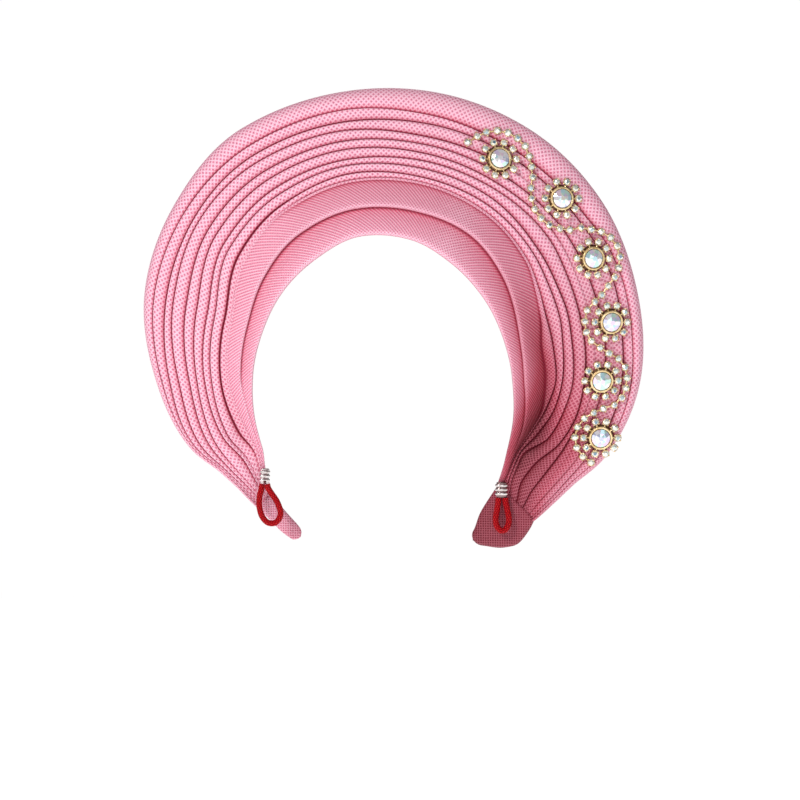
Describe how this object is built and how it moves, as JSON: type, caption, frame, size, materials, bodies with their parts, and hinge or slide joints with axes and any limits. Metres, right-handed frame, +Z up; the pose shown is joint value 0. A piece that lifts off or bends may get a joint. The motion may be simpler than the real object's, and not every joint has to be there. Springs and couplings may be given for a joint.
{
  "type": "ready-tied gele head tie",
  "caption": "Ready-tied pleated cloth head tie in a halo shape, open at the nape, with elastic loops and a rhinestone flower applique.",
  "frame": {"origin": "centre of the head opening, halfway between the brow and the nape of the hem", "axes": "+Z up through the crown of the head tie; its pleated front faces -Y; +X to the right of someone who looks at the front"},
  "size_m": [0.3461, 0.1057, 0.3176],
  "materials": {
    "pink_cloth": "woven pink cloth with a pale shiny trellis, softly lustrous",
    "pale_gold": "pale champagne gold, polished",
    "crystal": "cut crystal with a rainbow coat",
    "silver": "bright silver, slightly worn",
    "red_elastic": "braided deep red elastic cord"
  },
  "bodies": {
    "root": {"crimp_left": "silver", "crimp_right": "silver", "elastic_loop_left": "red_elastic", "elastic_loop_right": "red_elastic", "flower_crystal_1": "crystal", "flower_crystal_2": "crystal", "flower_crystal_3": "crystal", "flower_crystal_4": "crystal", "flower_crystal_5": "crystal", "flower_crystal_6": "crystal", "flower_setting_1": "pale_gold", "flower_setting_2": "pale_gold", "flower_setting_3": "pale_gold", "flower_setting_4": "pale_gold", "flower_setting_5": "pale_gold", "flower_setting_6": "pale_gold", "gele_back": "pink_cloth", "gele_front": "pink_cloth", "stone_chain_lower": "pale_gold", "stone_chain_upper": "pale_gold", "tie_end_left": "pink_cloth", "tie_end_right": "pink_cloth"}
  },
  "joints": []
}
